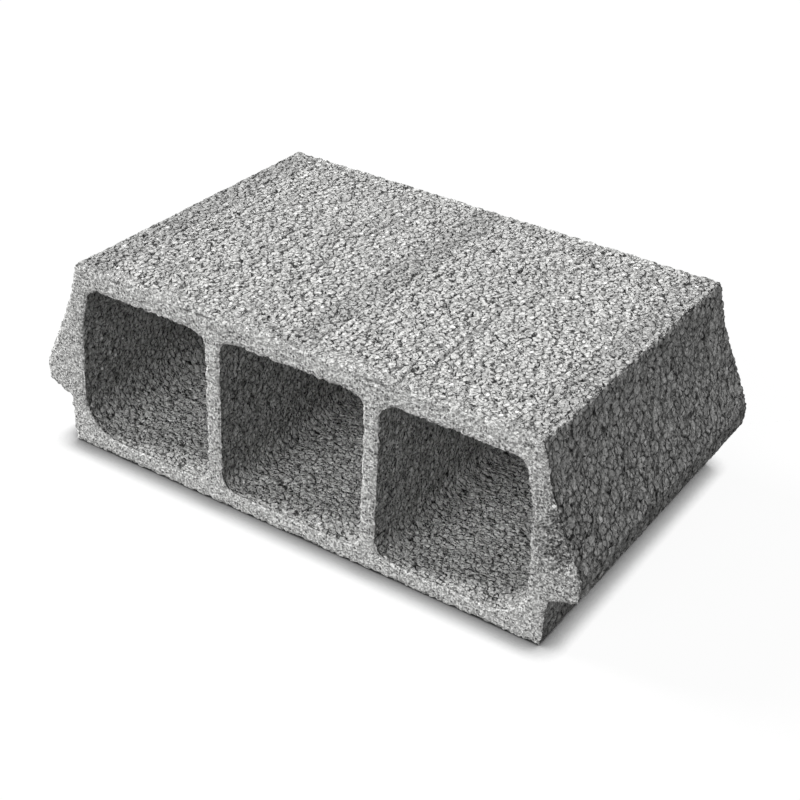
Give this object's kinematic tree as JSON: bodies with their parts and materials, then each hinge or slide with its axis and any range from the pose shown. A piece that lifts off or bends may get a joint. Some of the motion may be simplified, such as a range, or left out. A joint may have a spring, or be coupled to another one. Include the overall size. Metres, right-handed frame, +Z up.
{
  "type": "concrete floor infill block",
  "caption": "Hollow concrete infill block with open cells, a narrow foot and a bearing nib on each side, laid between floor beams to fill the gap under the topping.",
  "frame": {"origin": "middle of the underside", "axes": "+X across the gap between two floor beams, +Y along the beams and the cells, +Z up"},
  "size_m": [0.53, 0.31, 0.18],
  "materials": {
    "concrete": "matt, open-textured, dry-pressed"
  },
  "bodies": {
    "root": {"infill_block": "concrete"}
  },
  "joints": []
}
